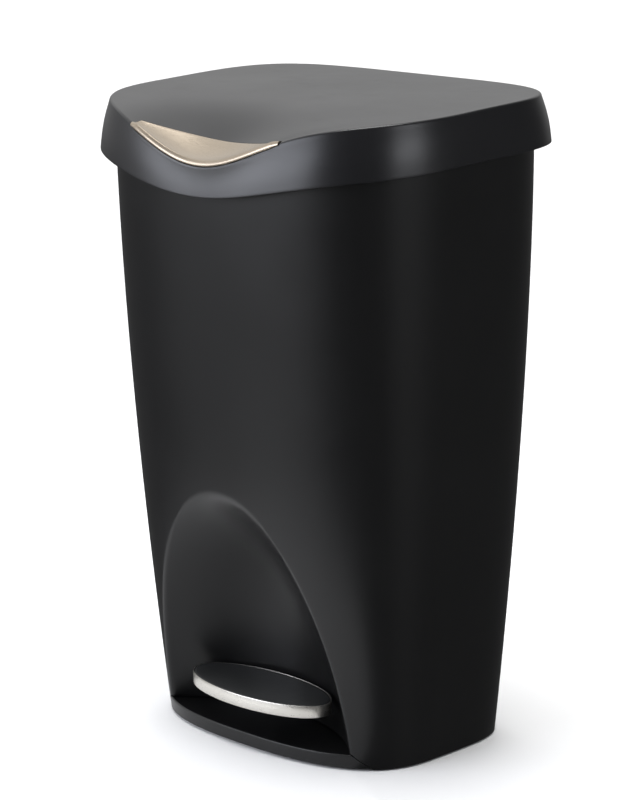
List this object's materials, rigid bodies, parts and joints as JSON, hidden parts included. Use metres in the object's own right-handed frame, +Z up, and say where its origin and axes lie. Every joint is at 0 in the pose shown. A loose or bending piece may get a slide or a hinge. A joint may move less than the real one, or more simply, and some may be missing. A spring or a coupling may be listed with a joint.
{
  "type": "pedal trash can",
  "caption": "Free-standing kitchen pedal bin with a tapered rounded body, an arched toe recess, a lens-shaped steel pedal and a hinged lid dipped at its metal handle trim.",
  "frame": {"origin": "on the floor, under the middle of the bounding box", "axes": "+X to the right seen from the front, -Y towards the pedal and front, +Z up"},
  "size_m": [0.4198, 0.3279, 0.644],
  "materials": {
    "body_shell": "satin black moulded plastic with a fine grain",
    "body_front": "satin black moulded plastic with a fine grain",
    "body_rear": "satin black moulded plastic with a fine grain",
    "base_plate": "satin black moulded plastic with a fine grain",
    "lid_shell": "satin black moulded plastic with a fine grain",
    "handle_trim": "brushed warm nickel with a polished front rim",
    "pedal_core": "plain black moulded plastic",
    "pedal_band": "brushed stainless steel",
    "pedal_pad": "matte black rubber",
    "pedal_lever": "brushed stainless steel",
    "pedal_axle": "brushed stainless steel",
    "axle_bearing_left": "plain black moulded plastic",
    "axle_bearing_right": "plain black moulded plastic",
    "axle_clip_left": "brushed stainless steel",
    "axle_clip_right": "brushed stainless steel",
    "lift_rod": "brushed stainless steel",
    "rod_clevis": "plain black moulded plastic",
    "clevis_pin": "brushed stainless steel",
    "rod_guide": "plain black moulded plastic",
    "rod_channel": "plain black moulded plastic",
    "lid_crank": "plain black moulded plastic",
    "crank_screw_left": "brushed stainless steel",
    "crank_screw_right": "brushed stainless steel",
    "hinge_bracket_left": "plain black moulded plastic",
    "hinge_bracket_right": "plain black moulded plastic",
    "hinge_pin_left": "brushed stainless steel",
    "hinge_pin_right": "brushed stainless steel",
    "hinge_screw_left_a": "brushed stainless steel",
    "hinge_screw_left_b": "brushed stainless steel",
    "hinge_screw_right_a": "brushed stainless steel",
    "hinge_screw_right_b": "brushed stainless steel",
    "lid_leaf_left": "plain black moulded plastic",
    "lid_leaf_right": "plain black moulded plastic",
    "lid_bumper_left": "matte black rubber",
    "lid_bumper_right": "matte black rubber",
    "foot_back_left": "matte black rubber",
    "foot_back_right": "matte black rubber",
    "foot_front_left": "matte black rubber",
    "foot_front_right": "matte black rubber"
  },
  "bodies": {
    "bin": {"body_shell": "body_shell", "body_front": "body_front", "body_rear": "body_rear", "base_plate": "base_plate", "rod_channel": "rod_channel", "rod_guide": "rod_guide", "axle_bearing_left": "axle_bearing_left", "axle_bearing_right": "axle_bearing_right", "pedal_axle": "pedal_axle", "axle_clip_left": "axle_clip_left", "axle_clip_right": "axle_clip_right", "hinge_bracket_left": "hinge_bracket_left", "hinge_bracket_right": "hinge_bracket_right", "hinge_pin_left": "hinge_pin_left", "hinge_pin_right": "hinge_pin_right", "hinge_screw_left_a": "hinge_screw_left_a", "hinge_screw_left_b": "hinge_screw_left_b", "hinge_screw_right_a": "hinge_screw_right_a", "hinge_screw_right_b": "hinge_screw_right_b", "foot_back_left": "foot_back_left", "foot_back_right": "foot_back_right", "foot_front_left": "foot_front_left", "foot_front_right": "foot_front_right"},
    "lid": {"lid_shell": "lid_shell", "handle_trim": "handle_trim", "lid_leaf_left": "lid_leaf_left", "lid_leaf_right": "lid_leaf_right", "lid_crank": "lid_crank", "crank_screw_left": "crank_screw_left", "crank_screw_right": "crank_screw_right", "lid_bumper_left": "lid_bumper_left", "lid_bumper_right": "lid_bumper_right"},
    "pedal": {"pedal_core": "pedal_core", "pedal_band": "pedal_band", "pedal_pad": "pedal_pad", "pedal_lever": "pedal_lever"},
    "rod": {"lift_rod": "lift_rod", "rod_clevis": "rod_clevis", "clevis_pin": "clevis_pin"}
  },
  "joints": [
    {"name": "lid_hinge", "type": "hinge", "parent": "bin", "child": "lid", "pos_m": [0, 0.156, 0.594], "axis": [-1, 0, 0], "range_deg": [0, 75]},
    {"name": "pedal_pivot", "type": "hinge", "parent": "bin", "child": "pedal", "pos_m": [0, 0, 0.04], "axis": [1, 0, 0], "range_deg": [0, 13]},
    {"name": "rod_slide", "type": "slide", "parent": "bin", "child": "rod", "axis": [0, 0.0281, 0.9996], "range_m": [0, 0.0265]}
  ],
  "couplings": [
    {"joint": "pedal_pivot", "follows": "lid_hinge", "ratio": 0.16933},
    {"joint": "rod_slide", "follows": "lid_hinge", "m_per_rad": 0.01994}
  ]
}
